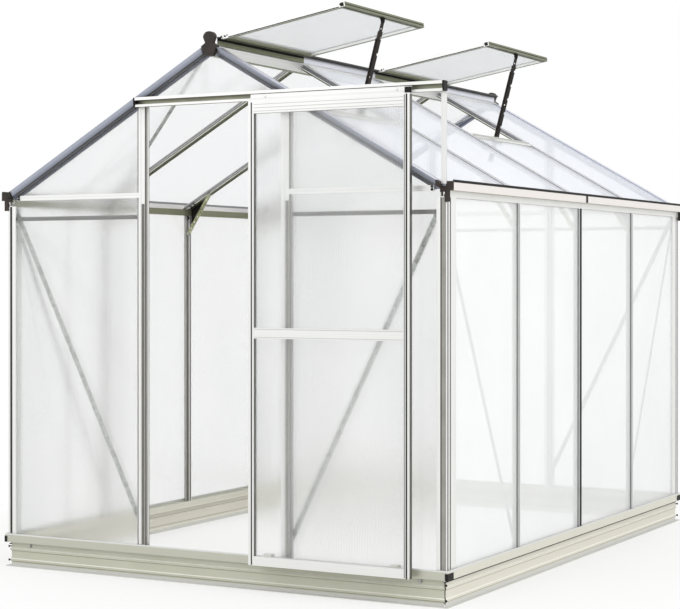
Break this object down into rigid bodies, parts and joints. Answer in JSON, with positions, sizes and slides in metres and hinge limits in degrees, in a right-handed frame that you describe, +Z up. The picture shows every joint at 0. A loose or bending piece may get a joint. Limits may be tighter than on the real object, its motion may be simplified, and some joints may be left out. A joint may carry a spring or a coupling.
{
  "type": "greenhouse",
  "caption": "Walk-in hobby greenhouse of aluminium glazing bars and twin-wall panes on a steel base, with a top-hung sliding door and propped-open roof vents.",
  "frame": {"origin": "on the ground, in the middle of the base frame", "axes": "+X to the right across the door end, +Y from the door end to the back, +Z up"},
  "size_m": [1.986, 2.6365, 2.1363],
  "materials": {
    "aluminium": "mill-finish extrusion",
    "galvanised_steel": "galvanised",
    "painted_steel": "pale grey coating on folded sheet",
    "black_plastic": "moulded",
    "pane": "clear twin-wall sheet",
    "nylon": "moulded",
    "seal_rubber": "extruded"
  },
  "bodies": {
    "house": {"base_corner_bolts": "galvanised_steel", "base_corner_brackets": "galvanised_steel", "base_end_rails": "painted_steel", "base_side_rails": "painted_steel", "corner_posts": "aluminium", "diagonal_braces": "galvanised_steel", "door_posts": "aluminium", "door_track": "aluminium", "eave_beams": "aluminium", "eave_corner_caps": "black_plastic", "eave_gussets": "black_plastic", "end_sills": "aluminium", "gable_panes_front": "pane", "gable_panes_rear": "pane", "gable_rafters": "aluminium", "gable_ties": "aluminium", "gable_transoms": "aluminium", "gutter_beads": "black_plastic", "joint_strips": "black_plastic", "knee_braces": "galvanised_steel", "rafters": "aluminium", "rear_posts": "aluminium", "ridge_beam": "aluminium", "ridge_end_caps": "black_plastic", "roof_panes_left": "pane", "roof_panes_right": "pane", "side_posts": "aluminium", "side_sills": "aluminium", "sill_corner_caps": "black_plastic", "stay_keepers": "black_plastic", "track_end_caps": "black_plastic", "track_strut": "aluminium", "vent_sills": "aluminium", "wall_panes_left": "pane", "wall_panes_right": "pane"},
    "door": {"door_axles": "galvanised_steel", "door_bottom_rail": "aluminium", "door_guide_clips": "nylon", "door_hanging_strip": "aluminium", "door_mid_rail": "aluminium", "door_panes": "pane", "door_seal": "seal_rubber", "door_stile_left": "aluminium", "door_stile_right": "aluminium", "door_stop": "black_plastic", "door_top_rail": "aluminium"},
    "door_roller_left": {"door_roller_left": "nylon"},
    "door_roller_right": {"door_roller_right": "nylon"},
    "front_vent": {"front_vent_bottom_rail": "aluminium", "front_vent_hinge_rail": "aluminium", "front_vent_pane": "pane", "front_vent_side_rails": "aluminium", "front_stay_bracket": "black_plastic"},
    "front_stay": {"front_stay": "black_plastic"},
    "rear_vent": {"rear_vent_bottom_rail": "aluminium", "rear_vent_hinge_rail": "aluminium", "rear_vent_pane": "pane", "rear_vent_side_rails": "aluminium", "rear_stay_bracket": "black_plastic"},
    "rear_stay": {"rear_stay": "black_plastic"}
  },
  "joints": [
    {"name": "door_slide", "type": "slide", "parent": "house", "child": "door", "axis": [1, 0, 0], "range_m": [-0.515, 0.11]},
    {"name": "door_roller_left_spin", "type": "hinge", "parent": "door", "child": "door_roller_left", "pos_m": [0.2465, -1.293, 1.80876], "axis": [0, 1, 0], "continuous": true},
    {"name": "door_roller_right_spin", "type": "hinge", "parent": "door", "child": "door_roller_right", "pos_m": [0.7835, -1.293, 1.80876], "axis": [0, 1, 0], "continuous": true},
    {"name": "front_vent_hinge", "type": "hinge", "parent": "house", "child": "front_vent", "pos_m": [0.038, -0.9525, 2.04023], "axis": [0, 1, 0], "range_deg": [0, 39.7]},
    {"name": "front_stay_pivot", "type": "hinge", "parent": "front_vent", "child": "front_stay", "pos_m": [0.54546, -0.9525, 2.10386], "axis": [0, 1, 0], "range_deg": [0, 35]},
    {"name": "rear_vent_hinge", "type": "hinge", "parent": "house", "child": "rear_vent", "pos_m": [0.038, 0.3175, 2.04023], "axis": [0, 1, 0], "range_deg": [0, 39.7]},
    {"name": "rear_stay_pivot", "type": "hinge", "parent": "rear_vent", "child": "rear_stay", "pos_m": [0.54546, 0.3175, 2.10386], "axis": [0, 1, 0], "range_deg": [0, 35]}
  ],
  "couplings": [
    {"joint": "door_roller_left_spin", "follows": "door_slide", "rad_per_m": 90.909},
    {"joint": "door_roller_right_spin", "follows": "door_slide", "rad_per_m": 90.909}
  ]
}
